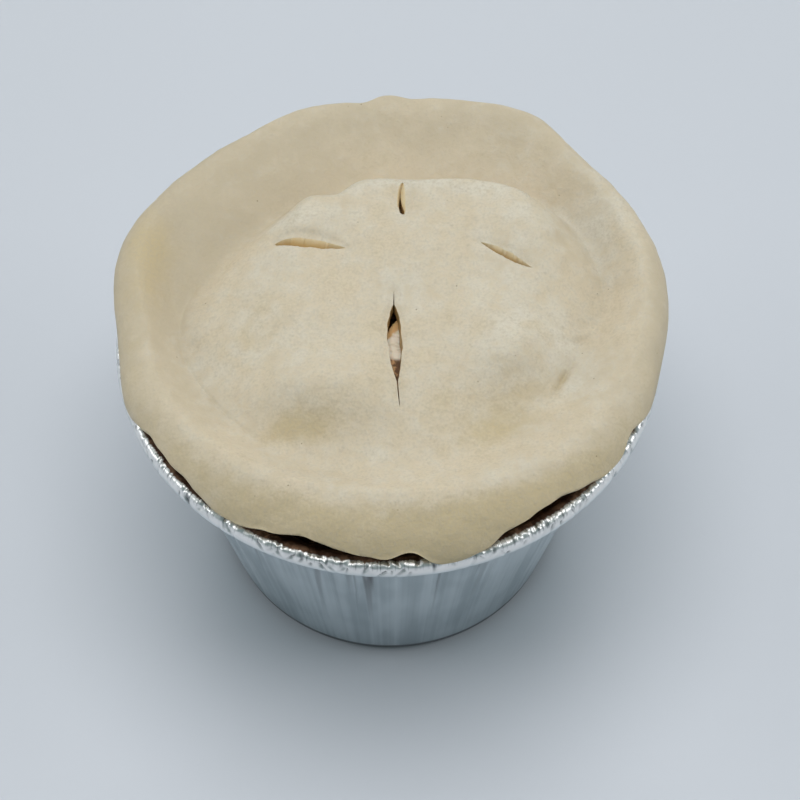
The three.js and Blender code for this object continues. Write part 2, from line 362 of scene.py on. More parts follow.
@dataclass
class Skin:
    """A closed mesh round the middle axis, from rings of points between two ends on the axis."""

    angles: np.ndarray
    start: float
    end: float
    rings: list[np.ndarray] = field(default_factory=list)
    marks: list[np.ndarray] = field(default_factory=list)

    def add(self, radius: Ring, height: Ring, mark: Ring = 0.0) -> None:
        """Adds a ring.

        Args:
            radius: Radius in millimetres, one number or one for each angle.
            height: Height in millimetres, one number or one for each angle.
            mark: A value kept for the finish, one number or one for each angle.
        """
        count = len(self.angles)
        radius = np.broadcast_to(radius, count)
        height = np.broadcast_to(height, count)
        x, y = radius * np.cos(self.angles), radius * np.sin(self.angles)
        self.rings.append(np.column_stack((x, y, height)))
        self.marks.append(np.broadcast_to(mark, count))

    def marked(self) -> np.ndarray:
        """Lists the marks of all vertices of the mesh."""
        return np.concatenate([[0.0], *self.marks, [0.0]])

    def mesh(self, name: str) -> bpy.types.Mesh:
        """Makes the mesh, its faces outwards when the rings run from the top middle out and down.

        Args:
            name: Name of the mesh.

        Returns:
            A smooth shaded closed mesh in metres.
        """
        count, rows = len(self.angles), len(self.rings)
        points = np.vstack([[[0.0, 0.0, self.start]], *self.rings, [[0.0, 0.0, self.end]]]) * MM
        here = np.arange(count)
        after = (here + 1) % count
        last = 1 + (rows - 1) * count
        faces = np.column_stack((np.zeros(count, int), 1 + here, 1 + after)).tolist()
        for row in range(rows - 1):
            low = 1 + row * count
            high = low + count
            faces += np.column_stack((low + here, high + here, high + after, low + after)).tolist()
        tip = np.full(count, len(points) - 1)
        faces += np.column_stack((tip, last + after, last + here)).tolist()
        mesh = bpy.data.meshes.new(name)
        mesh.from_pydata(points.tolist(), [], faces)
        mesh.shade_smooth()
        return mesh


def mesh_points(mesh: bpy.types.Mesh) -> np.ndarray:
    """Reads a mesh's vertices.

    Args:
        mesh: The mesh.

    Returns:
        Places in millimetres, three columns.
    """
    flat = np.empty(3 * len(mesh.vertices))
    mesh.vertices.foreach_get("co", flat)
    return flat.reshape(-1, 3) / MM


def place_points(mesh: bpy.types.Mesh, points: np.ndarray) -> None:
    """Moves a mesh's vertices to places in millimetres."""
    mesh.vertices.foreach_set("co", (points * MM).ravel())
    mesh.update()


def mesh_normals(mesh: bpy.types.Mesh) -> np.ndarray:
    """Reads a mesh's vertex normals.

    Args:
        mesh: The mesh.

    Returns:
        Unit vectors, three columns.
    """
    flat = np.empty(3 * len(mesh.vertices))
    mesh.vertex_normals.foreach_get("vector", flat)
    return flat.reshape(-1, 3)


def keep_mask(mesh: bpy.types.Mesh, mask: Mask, values: np.ndarray) -> None:
    """Stores a value from 0 to 1 on every vertex of a mesh for its finish."""
    layer = mesh.attributes.new(mask.value, "FLOAT", "POINT")
    layer.data.foreach_set("value", np.clip(values, 0.0, 1.0))


def show(name: str, data: bpy.types.ID) -> bpy.types.Object:
    """Puts a mesh, a lamp or a camera in the scene.

    Args:
        name: Name of the object.
        data: Its mesh, light or camera.

    Returns:
        The new object.
    """
    thing = bpy.data.objects.new(name, data)
    bpy.context.scene.collection.objects.link(thing)
    return thing


# Shader nodes


class Value:
    """A number that varies over a surface: a node socket that takes part in sums."""

    def __init__(self, bench: "Bench", socket: bpy.types.NodeSocket) -> None:
        """Keeps the socket and the bench that adds nodes to it."""
        self.bench = bench
        self.socket = socket

    def __add__(self, other: "Number") -> "Value":
        """Sum of two numbers."""
        return self.bench.sum("ADD", self, other)

    def __sub__(self, other: "Number") -> "Value":
        """Difference of two numbers."""
        return self.bench.sum("SUBTRACT", self, other)

    def __rsub__(self, other: "Number") -> "Value":
        """Difference with this number last."""
        return self.bench.sum("SUBTRACT", other, self)

    def __mul__(self, other: "Number") -> "Value":
        """Product of two numbers."""
        return self.bench.sum("MULTIPLY", self, other)

    __radd__ = __add__
    __rmul__ = __mul__

    def above(self, low: float, high: float) -> "Value":
        """Eases from 0 to 1 between two limits.

        Args:
            low: Where the step starts.
            high: Where the step ends.

        Returns:
            A number from 0 to 1.
        """
        limits = {"From Min": low, "From Max": high}
        settings = {"interpolation_type": "SMOOTHSTEP"}
        return self.bench.node("ShaderNodeMapRange", settings, {"Value": self, **limits})


Number = Union[Value, float]
Tint = Union[Value, Colour]


class Bench:
    """A material's nodes, with one method for each kind of addition."""

    def __init__(self, name: str) -> None:
        """Makes a material with its main shader and the object's own coordinates.

        Args:
            name: Name of the material.
        """
        self.material = bpy.data.materials.new(name)
        self.material.use_nodes = True
        self.tree = self.material.node_tree
        self.shader = self.tree.nodes["Principled BSDF"]
        self.place = self.node("ShaderNodeTexCoord", {}, {}, "Object")

    def feed(self, node: bpy.types.Node, sockets: dict[Any, Any]) -> None:
        """Sets or links a node's sockets.

        Args:
            node: The node.
            sockets: A value or a Value for each socket's name or number.
        """
        for key, given in sockets.items():
            socket = node.inputs[key]
            if isinstance(given, Value):
                self.tree.links.new(given.socket, socket)
            elif isinstance(given, tuple) and len(socket.default_value) == 4:
                socket.default_value = (*given, 1.0)
            else:
                socket.default_value = given

    def node(
        self,
        kind: str,
        settings: dict[str, Any],
        sockets: dict[Any, Any],
        output: Union[int, str] = 0,
    ) -> Value:
        """Adds a node.

        Args:
            kind: The node's type.
            settings: Its settings, which are set first.
            sockets: Values or links of its inputs.
            output: The output to use.

        Returns:
            The output as a Value.
        """
        node = self.tree.nodes.new(kind)
        for key, value in settings.items():
            setattr(node, key, value)
        self.feed(node, sockets)
        return Value(self, node.outputs[output])

    def sum(self, operation: str, first: Number, second: Number) -> Value:
        """Adds a Math node for two numbers."""
        return self.node("ShaderNodeMath", {"operation": operation}, {0: first, 1: second})

    def vector(self, operation: str, *parts: Tint) -> Value:
        """Adds a Vector Math node."""
        settings = {"operation": operation}
        return self.node("ShaderNodeVectorMath", settings, dict(enumerate(parts)))

    def mask(self, mask: Mask) -> Value:
        """Reads a value kept on the mesh."""
        return self.node("ShaderNodeAttribute", {"attribute_name": mask.value}, {}, "Fac")

    def grain(
        self,
        size: float,
        detail: float = 2.0,
        stretch: Triple = (1.0, 1.0, 1.0),
        swirl: float = 0.0,
    ) -> Value:
        """Adds noise.

        Args:
            size: Width of its blotches in millimetres.
            detail: Finer octaves in it.
            stretch: How much longer the blotches are along each axis.
            swirl: How far the blotches are drawn out into curls.

        Returns:
            Noise from 0 to 1, about a half.
        """
        squash = tuple(1.0 / part for part in stretch)
        sockets = {
            "Vector": self.vector("MULTIPLY", self.place, squash),
            "Scale": 1.0 / (size * MM),
            "Detail": detail,
            "Distortion": swirl,
        }
        return self.node("ShaderNodeTexNoise", {}, sockets)

    def flutes(self, size: float, radius: float, detail: float = 2.0) -> Value:
        """Adds noise that changes only round the middle axis, so that its streaks run down a wall.

        Args:
            size: Width of a streak in millimetres.
            radius: Radius of the wall in millimetres.
            detail: Finer octaves in it.

        Returns:
            Noise from 0 to 1, about a half.
        """
        flat = self.vector("MULTIPLY", self.place, (1.0, 1.0, 0.0))
        sockets = {
            "Vector": self.vector("NORMALIZE", flat),
            "Scale": radius / size,
            "Detail": detail,
        }
        return self.node("ShaderNodeTexNoise", {}, sockets)

    def specks(self, spacing: float, radius: float) -> Value:
        """Adds small scattered dots.

        Args:
            spacing: Their distance apart in millimetres.
            radius: Their radius in millimetres.

        Returns:
            One on a dot, zero between dots.
        """
        sockets = {"Vector": self.place, "Scale": 1.0 / (spacing * MM)}
        gap = self.node("ShaderNodeTexVoronoi", {}, sockets, "Distance")
        return 1.0 - gap.above(0.5 * radius / spacing, radius / spacing)

    def blend(self, share: Number, first: Tint, second: Tint) -> Value:
        """Mixes two colours.

        Args:
            share: How much of the second colour.
            first: A colour or a Value.
            second: A colour or a Value.

        Returns:
            The mixed colour.
        """
        settings = {"data_type": "RGBA", "clamp_factor": True}
        return self.node("ShaderNodeMix", settings, {0: share, 6: first, 7: second}, 2)

    def bump(self, height: Value, depth: float) -> Value:
        """Turns a height into a bent normal.

        Args:
            height: Height from 0 to 1.
            depth: What a height of 1 stands for, in millimetres.

        Returns:
            The normal.
        """
        return self.node("ShaderNodeBump", {}, {"Height": height, "Distance": depth * MM})

    def finish(self, sockets: dict[str, Any]) -> bpy.types.Material:
        """Feeds the main shader and hands over the material."""
        self.feed(self.shader, sockets)
        return self.material


# Finishes


@dataclass(frozen=True)
class RawDough:
    """Pale raw pastry: beige and mottled, greyer under flour, yellower where fat has soaked in; its
    yellower moist and darker damp tones also paint shade on the front wall, in troughs and along the
    ring.

    A tone's weights say how far the grains, from the broad one to the finest, move its edge.
    """

    name: str = "raw_dough"
    dough: Colour = (0.645, 0.545, 0.402)
    floury: Colour = (0.675, 0.612, 0.503)
    # Yellower moist tone, partly painted shade.
    moist_and_shade: Colour = (0.570, 0.460, 0.283)
    # Darker damp tone, partly painted shade.
    damp_and_shade: Colour = (0.553, 0.463, 0.330)
    shade: Colour = (0.500, 0.420, 0.310)
    fleck: Colour = (0.200, 0.140, 0.080)
    broad_size: float = 9.0
    mottle_size: float = 3.2
    fibre_size: float = 1.2
    speckle_size: float = 0.5
    swirl: float = 0.3
    floury_weights: Sequence[float] = (1.4, 1.2, 0.9, 0.8)
    moist_and_shade_weights: Sequence[float] = (-0.8, -0.8, 0.6, 0.6)
    damp_and_shade_weights: Sequence[float] = (1.0, -0.9, -0.8, -0.8)
    shade_share: float = 0.2
    speckle_shade: float = 1.5
    fibre_shade: float = 0.8
    fleck_spacing: float = 3.4
    fleck_radius: float = 0.2
    fleck_share: float = 0.6
    fleck_patch: float = 5.0
    fleck_cover: Span = (0.48, 0.58)
    relief: Triple = (0.45, 0.35, 0.2)
    depth: float = 0.35
    roughness: float = 0.64
    roughness_spread: float = 0.2

    def make(self) -> bpy.types.Material:
        """Builds the material.

        Returns:
            The finished material.
        """
        bench = Bench(self.name)
        broad = bench.grain(self.broad_size, 3.0) - 0.5
        mottle = bench.grain(self.mottle_size, 3.0, swirl=self.swirl) - 0.5
        fibre = bench.grain(self.fibre_size, 4.0, swirl=self.swirl) - 0.5
        speckle = bench.grain(self.speckle_size, 3.0) - 0.5

        def tone(mask: Mask, weights: Sequence[float]) -> Value:
            """Gives a tone's share of the colour, with its edge broken up by the grains.

            Args:
                mask: Where the tone lies.
                weights: How far each grain moves its edge.

            Returns:
                A number from 0 to 1.
            """
            share = bench.mask(mask)
            for grain, weight in zip((broad, mottle, fibre, speckle), weights):
                share = share + grain * weight
            return share.above(0.0, 1.0)

        colour = bench.blend(tone(Mask.FLOUR, self.floury_weights), self.dough, self.floury)
        # Damp tone: darker dough, partly painted shade along the ring, in the left trough and at the
        # right edge.
        colour = bench.blend(tone(Mask.DAMP_AND_SHADE, self.damp_and_shade_weights), colour, self.damp_and_shade)
        # Moist tone: fat soaked dough, partly painted shade on the front wall and in front of the
        # lumps.
        colour = bench.blend(tone(Mask.MOIST_AND_SHADE, self.moist_and_shade_weights), colour, self.moist_and_shade)
        shaded = self.shade_share + speckle * self.speckle_shade + fibre * self.fibre_shade
        colour = bench.blend(shaded, colour, self.shade)
        scattered = bench.grain(self.fleck_patch).above(*self.fleck_cover)
        flecks = bench.specks(self.fleck_spacing, self.fleck_radius) * scattered
        colour = bench.blend(flecks * self.fleck_share, colour, self.fleck)
        height = mottle * self.relief[0] + fibre * self.relief[1] + speckle * self.relief[2]
        return bench.finish(
            {
                "Base Color": colour,
                "Roughness": self.roughness + mottle * self.roughness_spread,
                "Normal": bench.bump(height, self.depth),
                "Subsurface Weight": 0.1,
                "Subsurface Radius": (1.0, 0.7, 0.4),
                "Subsurface Scale": 0.001,
                "Specular IOR Level": 0.3,
            }
        )


@dataclass(frozen=True)
class CutDough:
    """The cut face of dough inside a vent slit: cream near the lips, then tan and brown deeper down,
    partly gravy wetting it and partly painted shade in the slit.
    """

    name: str = "cut_dough"
    cream: Colour = (0.660, 0.545, 0.360)
    # Tan and stain deeper in the slit are partly painted shade.
    tan: Colour = (0.580, 0.390, 0.165)
    stain: Colour = (0.300, 0.165, 0.065)
    blotch_size: float = 1.2
    blotch_share: float = 0.3
    tan_and_shade_band: Span = (0.02, 0.5)
    stain_band: Span = (0.75, 1.15)
    roughness: float = 0.45
    roughness_spread: float = 0.2
    depth: float = 0.15

    def make(self) -> bpy.types.Material:
        """Builds the material.

        Returns:
            The finished material.
        """
        bench = Bench(self.name)
        blotch = bench.grain(self.blotch_size, 3.0)
        # Darker and browner with depth into the slit: partly gravy wetting, partly painted shade.
        wet_and_shade = bench.mask(Mask.DEEP) + (blotch - 0.5) * self.blotch_share
        colour = bench.blend(wet_and_shade.above(*self.tan_and_shade_band), self.cream, self.tan)
        colour = bench.blend(wet_and_shade.above(*self.stain_band), colour, self.stain)
        return bench.finish(
            {
                "Base Color": colour,
                "Roughness": self.roughness + blotch * self.roughness_spread,
                "Normal": bench.bump(blotch, self.depth),
                "Subsurface Weight": 0.2,
                "Subsurface Radius": (1.0, 0.7, 0.4),
                "Subsurface Scale": 0.002,
            }
        )


@dataclass(frozen=True)
class MeatFilling:
    """Brown gravy with a pale piece of chicken, seared on its upper side."""

    name: str = "meat_filling"
    gravy: Colour = (0.130, 0.065, 0.027)
    crust: Colour = (0.520, 0.300, 0.140)
    flesh: Colour = (0.800, 0.715, 0.580)
    strand: Colour = (0.690, 0.590, 0.450)
    sear: Colour = (0.560, 0.340, 0.140)
    lump_size: float = 1.3
    strand_size: float = 0.6
    strand_stretch: Triple = (4.0, 1.0, 1.0)
    crust_band: Span = (0.44, 0.66)
    strand_band: Span = (0.45, 0.7)
    sear_band: Span = (0.3, 0.9)
    sear_spread: float = 0.8
    flesh_band: Span = (0.2, 0.8)
    roughness: float = 0.45
    roughness_spread: float = 0.2
    depth: float = 0.3

    def make(self) -> bpy.types.Material:
        """Builds the material.

        Returns:
            The finished material.
        """
        bench = Bench(self.name)
        lumps = bench.grain(self.lump_size, 3.0)
        strands = bench.grain(self.strand_size, 2.0, self.strand_stretch)
        gravy = bench.blend(lumps.above(*self.crust_band), self.gravy, self.crust)
        flesh = bench.blend(strands.above(*self.strand_band), self.flesh, self.strand)
        seared = bench.mask(Mask.SEAR) + (lumps - 0.5) * self.sear_spread
        flesh = bench.blend(seared.above(*self.sear_band), flesh, self.sear)
        meat = bench.mask(Mask.FLESH).above(*self.flesh_band)
        return bench.finish(
            {
                "Base Color": bench.blend(meat, gravy, flesh),
                "Roughness": self.roughness + lumps * self.roughness_spread,
                "Specular IOR Level": 0.3,
                "Normal": bench.bump(lumps * 0.5 + strands * 0.5, self.depth),
                "Subsurface Weight": 0.15,
                "Subsurface Scale": 0.001,
            }
        )


@dataclass(frozen=True)
class CrinkledFoil:
    """Soft satin foil, gathered finely over the rim, streaked down the wall and browned inside, with
    a painted highlight on the rim, painted shade in its creases and base corner, and brown that is
    partly a painted reflection of the shaded dough.
    """

    name: str = "crinkled_foil"
    # Tone of the painted highlight on the rim.
    highlight_tone: Colour = (0.900, 0.895, 0.880)
    satin: Colour = (0.600, 0.672, 0.703)
    cloudy: Colour = (0.415, 0.487, 0.518)
    # Tone of the painted shade in creases, pinches, nicks and the base corner.
    crease: Colour = (0.120, 0.130, 0.140)
    # Brown grease tones, partly a painted reflection of the shaded dough.
    fat: Colour = (0.270, 0.150, 0.090)
    gravy: Colour = (0.085, 0.036, 0.020)
    rim_radius: float = RIM_RADIUS
    cloud_size: float = 9.0
    cloud_stretch: Triple = (1.0, 1.0, 2.5)
    streak_width: float = 4.2
    fine_width: float = 1.3
    pinch_width: float = 0.5
    smear_size: float = 2.2
    cloud_share: float = 0.45
    streak_share: float = 0.35
    fine_share: float = 0.2
    worn_band: Span = (0.4, 0.6)
    pinch_band: Span = (0.52, 0.66)
    pinch_share: float = 0.6
    crease_shade_band: Span = (0.0, 0.6)
    fat_band: Span = (0.45, 0.7)
    stain_band: Span = (0.35, 0.65)
    stain_cover: float = 0.85
    roughness: float = 0.25
    worn_roughness: float = 0.14
    stain_roughness: float = 0.2
    crimp_roughness: float = 0.08
    gathers: float = 0.12
    streaks: float = 0.16

    def make(self) -> bpy.types.Material:
        """Builds the material.

        Returns:
            The finished material.
        """
        bench = Bench(self.name)
        cloud = bench.grain(self.cloud_size, 2.0, self.cloud_stretch)
        widths = (self.streak_width, self.fine_width, self.pinch_width)
        streak, fine, pinch = (bench.flutes(width, self.rim_radius) for width in widths)
        smear = bench.grain(self.smear_size, 3.0)
        crimped = bench.mask(Mask.CRIMP)
        worn = cloud * self.cloud_share + streak * self.streak_share + fine * self.fine_share
        metal = bench.blend(worn.above(*self.worn_band), self.satin, self.cloudy)
        # Paints a highlight on the rim and the top of the wall.
        metal = bench.blend(bench.mask(Mask.RIM_HIGHLIGHT), metal, self.highlight_tone)
        # Painted shade in the crimps' pinches and along the marked creases.
        pinched_shade = crimped * pinch.above(*self.pinch_band)
        metal = bench.blend(pinched_shade * self.pinch_share, metal, self.crease)
        metal = bench.blend(bench.mask(Mask.CREASE_SHADE).above(*self.crease_shade_band), metal, self.crease)
        # Brown grease inside the rim, partly a painted reflection of the shaded dough.
        stain = bench.blend(smear.above(*self.fat_band), self.gravy, self.fat)
        stained_and_reflection = bench.mask(Mask.GREASE_AND_REFLECTION) + (smear - 0.5) + (pinch - 0.5) * self.pinch_share
        stained_and_reflection = stained_and_reflection.above(*self.stain_band)
        relief = streak * self.streaks + pinch * crimped * self.gathers
        dulled = worn * self.worn_roughness + stained_and_reflection * self.stain_roughness
        return bench.finish(
            {
                "Base Color": bench.blend(stained_and_reflection, metal, stain),
                "Metallic": 1.0 - stained_and_reflection * self.stain_cover,
                "Roughness": self.roughness + dulled + crimped * self.crimp_roughness,
                "Normal": bench.bump(relief, 1.0),
            }
        )


@dataclass(frozen=True)
class PaleTable:
    """The plain pale table the pie stands on."""

    name: str = "pale_table"
    paper: Colour = (0.642, 0.655, 0.703)
    shade: Colour = (0.616, 0.630, 0.678)
    cloud_size: float = 120.0
    roughness: float = 0.6

    def make(self) -> bpy.types.Material:
        """Builds the material.

        Returns:
            The finished material.
        """
        bench = Bench(self.name)
        colour = bench.blend(bench.grain(self.cloud_size), self.paper, self.shade)
        return bench.finish({"Base Color": colour, "Roughness": self.roughness})


# Pieces


@dataclass(frozen=True)
class Creases:
    """Pinched creases that run across a band round the cup, drawn from a seed."""

    count: int
    depth: Span
    width: Span
    start: Span
    length: Span
    lean: float
    seed: int
    radius: float = RIM_RADIUS
    onset: float = 0.3
    fading: float = 0.6
    narrowing: float = 0.0
    squareness: float = 2.0

    def hollow(self, angles: np.ndarray, along: float) -> np.ndarray:
        """Adds up the creases at one place of the band.

        Args:
            angles: Angles in radians.
            along: Distance from the band's first edge in millimetres.

        Returns:
            Depths in millimetres, one for each angle.
        """
        draw = np.random.default_rng(self.seed)
        middle = draw.uniform(-math.pi, math.pi, self.count)
        lean = draw.uniform(-self.lean, self.lean, self.count)
        spans = (self.depth, self.width, self.start, self.length)
        depth, width, start, length = (draw.uniform(*span, self.count) for span in spans)
        past = along - start
        begun = np.clip(past / self.onset, 0.0, 1.0)
        faded = np.clip((1.0 - past / length) / self.fading, 0.0, 1.0)
        width = width * (1.0 - self.narrowing * np.clip(past / length, 0.0, 1.0))
        across = angle_gaps(angles, middle) * self.radius - (lean * past)[:, None]
        bells = np.exp(-(np.abs(across / width[:, None]) ** self.squareness))
        return (depth * (begun * faded)) @ bells


@dataclass
class FoilCup:
    """The pleated foil cup with its rolled and crimped rim."""

    DRAW_FACTOR: ClassVar[int] = 1664525
    DRAW_STEP: ClassVar[int] = 1013904223
    DRAW_RANGE: ClassVar[int] = 2**32

    rim_radius: float = RIM_RADIUS
    rim_height: float = 63.75
    roll_radius: float = 1.8
    rim_flat: float = 1.38
    rim_flat_turn: float = 14.0
    least_cosine: float = 0.1
    foil: float = 0.4
    base_flat: float = 31.9
    base_wall: float = 34.0
    fillet: float = 2.2
    wall_top: float = 45.2
    wall_top_drop: float = 5.0
    flare: float = 46.7
    flare_drop: float = 2.6
    pleats: int = 56
    pleat_depth: float = 0.8
    least_pleat: float = 0.15
    neck_pleat: float = 0.5
    pleat_unevenness: float = 0.8
    pleat_powers: Span = (0.6, 2.2)
    pleat_seed: int = 17
    points_per_fold: int = 14
    gathers: Creases = Creases(
        count=95, depth=(0.10, 0.50), width=(0.3, 1.8), start=(-6.0, -5.0), length=(16.0, 60.0),
        lean=0.06, seed=5, fading=0.8, narrowing=0.8, squareness=4.0,
    )
    nicks: Creases = Creases(
        count=150, depth=(0.06, 0.40), width=(0.16, 0.4), start=(0.6, 3.4), length=(1.0, 4.0),
        lean=0.9, seed=6,
    )
    crimps: Creases = Creases(
        count=420, depth=(-0.20, 0.34), width=(0.22, 0.60), start=(-2.5, 0.8), length=(3.0, 5.0),
        lean=0.8, seed=7, fading=0.4,
    )
    dimples: Creases = Creases(
        count=380, depth=(-0.14, 0.18), width=(0.30, 0.80), start=(-0.8, 2.0), length=(0.8, 1.8),
        lean=1.0, seed=8, onset=0.5,
    )
    deepest_gather: float = 0.5
    inner_allowance: float = 0.25
    ridge_shift: float = 1.0
    # Painted shade in creases, nicks and the base corner, and a painted highlight beside each crease.
    crease_shade: float = 1.2
    ridge_highlight: float = 1.7
    corner_shadow: float = 0.7
    corner_shadow_height: float = 0.9
    dents: int = 60
    dent_depth: float = 0.3
    dent_heights: Span = (5.0, 55.0)
    dent_reaches: Span = (5.0, 14.0)
    dent_widths: Span = (1.5, 4.0)
    dent_onset: float = 4.0
    roll_ends: Span = (190.0, -115.0)
    roll_start: float = 110.0
    # Where the rim's painted highlight lies.
    highlight_band: Span = (-1.2, 0.2)
    highlight_below: float = 0.4
    highlight_reach: float = 9.0
    crimp_turns: Span = (14.0, 50.0)
    # Where the brown grease lies inside the rim; it is partly a painted reflection of the shaded
    # dough.
    stain_and_reflection_turns: Span = (52.0, 104.0)
    stain_and_reflection_lag: Swells = Swells(0.0, ((-72, 42, 18.0),))
    wall_rows: int = 20
    inner_wall_rows: int = 3
    corner_rows: int = 4
    roll_rows: int = 27
    seed: int = 5

    @property
    def wall_top_height(self) -> float:
        """Height where the straight wall ends."""
        return self.rim_height - self.wall_top_drop

    @property
    def inner_hollow(self) -> float:
        """How far the inner face stands back, so that no crease of the outer face reaches it."""
        return self.deepest_gather + self.inner_allowance

    @property
    def roll_turns(self) -> np.ndarray:
        """Degrees of the rows over the rolled rim, from its inner side over the top and out."""
        return np.linspace(*self.roll_ends, self.roll_rows)

    def folds(self) -> tuple[np.ndarray, np.ndarray]:
        """Draws the pleats as the solid does: alternating folds at seeded angles.

        Returns:
            Angles in radians and depths in millimetres.
        """
        state = self.pleat_seed
        draws = []
        for _ in range(6 * self.pleats):
            state = (state * self.DRAW_FACTOR + self.DRAW_STEP) % self.DRAW_RANGE
            draws.append(state / self.DRAW_RANGE)
        turns, depths, _ = np.array(draws).reshape(-1, 3).T
        index = np.arange(2 * self.pleats)
        angles = (index + self.pleat_unevenness * (turns - 0.5)) * math.pi / self.pleats
        shares = self.least_pleat + (1.0 - self.least_pleat) * depths
        return angles, np.where(index % 2 == 0, 0.0, self.pleat_depth * shares)

    def wall_radius(self, height: float) -> float:
        """Radius of the wall's ridges at a height."""
        rise = (height - self.fillet) / (self.wall_top_height - self.fillet)
        return self.base_wall + (self.wall_top - self.base_wall) * rise

    def skin(self) -> Skin:
        """Lays the rings of the cup, inside first, over the rolled rim and down the outside.

        Returns:
            The rings of the cup.
        """
        draw = np.random.default_rng(self.seed)
        folds, depths = self.folds()
        powers = draw.uniform(*self.pleat_powers, len(folds))
        angles = turn_angles(2 * self.pleats * self.points_per_fold)
        dent_size = draw.uniform(-self.dent_depth, self.dent_depth, self.dents)
        dent_height = draw.uniform(*self.dent_heights, self.dents)
        dent_reach = draw.uniform(*self.dent_reaches, self.dents)
        dent_middle = draw.uniform(-math.pi, math.pi, self.dents)
        dent_width = draw.uniform(*self.dent_widths, self.dents)
        dent_gaps = angle_gaps(angles, dent_middle) * self.rim_radius
        dent = np.exp(-((dent_gaps / dent_width[:, None]) ** 2))
        skin = Skin(angles, self.foil, 0.0)

        def gather(height: float, shift: float = 0.0) -> np.ndarray:
            """Finds the creases that run down from the rim.

            Args:
                height: Height on the wall in millimetres.
                shift: Distance round the rim that they are moved by.

            Returns:
                Depths in millimetres, one for each angle.
            """
            turned = angles + shift / self.rim_radius
            hollow = self.gathers.hollow(turned, self.wall_top_height - height)
            return np.minimum(hollow, self.deepest_gather)

        def pleat(share: Ring) -> np.ndarray:
            """Depth of the pleats where the folds have a share of their own depth."""
            return np.interp(angles, folds, depths * share, period=FULL_TURN)

        def inner_wall(height: float) -> None:
            """Adds a ring of the wall's inner face, which is pleated only.

            Args:
                height: Height of the ring in millimetres.
            """
            growth = (height - self.fillet) / self.wall_top_height
            folded = self.wall_radius(height) - self.foil - pleat(growth**powers)
            skin.add(folded - self.inner_hollow, height)

        def outer_wall(height: float) -> None:
            """Adds a ring of the wall's outer face, which is pleated, dented and creased.

            Args:
                height: Height of the ring in millimetres.
            """
            growth = (height - self.fillet) / self.wall_top_height
            near = np.exp(-(((height - dent_height) / dent_reach) ** 2))
            near = near * min(1.0, self.dent_onset * growth)
            crease = gather(height)
            ridge = np.maximum(gather(height, self.ridge_shift) - crease, 0.0)
            # Paints shade into the creases and a shadow at the base corner, lessened by a painted
            # highlight beside each crease.
            painted_shade: Ring = self.crease_shade * crease - self.ridge_highlight * ridge
            if height <= self.fillet:
                painted_shade = self.corner_shadow
            folded = self.wall_radius(height) - pleat(growth**powers)
            skin.add(folded - crease - (dent_size * near) @ dent, height, painted_shade)

        def corner(turn: float, inset: float) -> None:
            """Adds a ring of the rounded corner at the base.

            Args:
                turn: Angle round the corner in radians, 0 at the base.
                inset: Thickness of the foil on the inner face, 0 on the outer face.
            """
            reach = self.base_wall - self.base_flat - inset
            height = self.fillet * (1.0 - math.cos(turn)) + inset * math.cos(turn)
            # Painted shadow at the base corner.
            skin.add(self.base_flat + reach * math.sin(turn), height, self.corner_shadow)

        def neck(inset: float, hollow: Ring) -> None:
            """Adds the ring where the wall flares out to the rim."""
            skin.add(self.flare - inset - pleat(self.neck_pleat) - hollow, neck_height)

        neck_height = self.rim_height - self.flare_drop
        above_corner = self.fillet + self.corner_shadow_height
        outer_heights = np.linspace(above_corner, self.wall_top_height, self.wall_rows)
        turns = np.linspace(0.0, math.pi / 2.0, self.corner_rows + 1)[:-1]
        for turn in turns:
            corner(turn, self.foil)
        for height in np.linspace(self.fillet, self.wall_top_height, self.inner_wall_rows):
            inner_wall(height)
        neck(self.foil, self.inner_hollow)
        middle = self.rim_radius - self.roll_radius
        for degrees in self.roll_turns:
            turn = math.radians(degrees)
            along = self.roll_radius * math.radians(self.roll_start - degrees)
            nick = self.nicks.hollow(angles, along)
            cosine = math.cos(turn - math.radians(self.rim_flat_turn))
            flat = self.rim_flat / max(self.least_cosine, cosine)
            crimp = self.crimps.hollow(angles, along) + self.dimples.hollow(angles, along)
            radius = min(self.roll_radius, flat) - nick - crimp
            height = self.rim_height + radius * math.sin(turn)
            # Painted shade in the rim's nicks.
            skin.add(middle + radius * math.cos(turn), height, self.crease_shade * nick)
        neck(0.0, gather(neck_height))
        for height in (*outer_heights[::-1], self.fillet):
            outer_wall(height)
        for turn in turns[::-1]:
            corner(turn, 0.0)
        return skin

    def build(self) -> bpy.types.Object:
        """Makes the cup, with a painted highlight on the rim, painted shade in its creases, nicks and
        base corner, and brown grease inside that is partly a painted reflection.

        Returns:
            The dressed cup.
        """
        skin = self.skin()
        mesh = skin.mesh("foil_cup_skin")
        mesh.materials.append(CrinkledFoil().make())
        points = mesh_points(mesh)
        radius, height = np.hypot(points[:, 0], points[:, 1]), points[:, 2]
        wall_top = self.wall_top_height
        # Painted highlight on the rim and the top of the wall.
        over_rim = smooth_step(height - self.rim_height, *self.highlight_band)
        below_rim = self.highlight_below * smooth_step(height, wall_top - self.highlight_reach, wall_top)
        keep_mask(mesh, Mask.RIM_HIGHLIGHT, np.where(radius > self.flare, over_rim, below_rim))
        row = (np.arange(len(points)) - 1) // len(skin.angles)
        roll_row = row - (self.corner_rows + self.inner_wall_rows + 1)
        turned = np.interp(roll_row, np.arange(self.roll_rows), self.roll_turns)
        keep_mask(mesh, Mask.CRIMP, smooth_step(turned, *self.crimp_turns))
        # Painted shade in creases, nicks and the base corner.
        keep_mask(mesh, Mask.CREASE_SHADE, skin.marked())
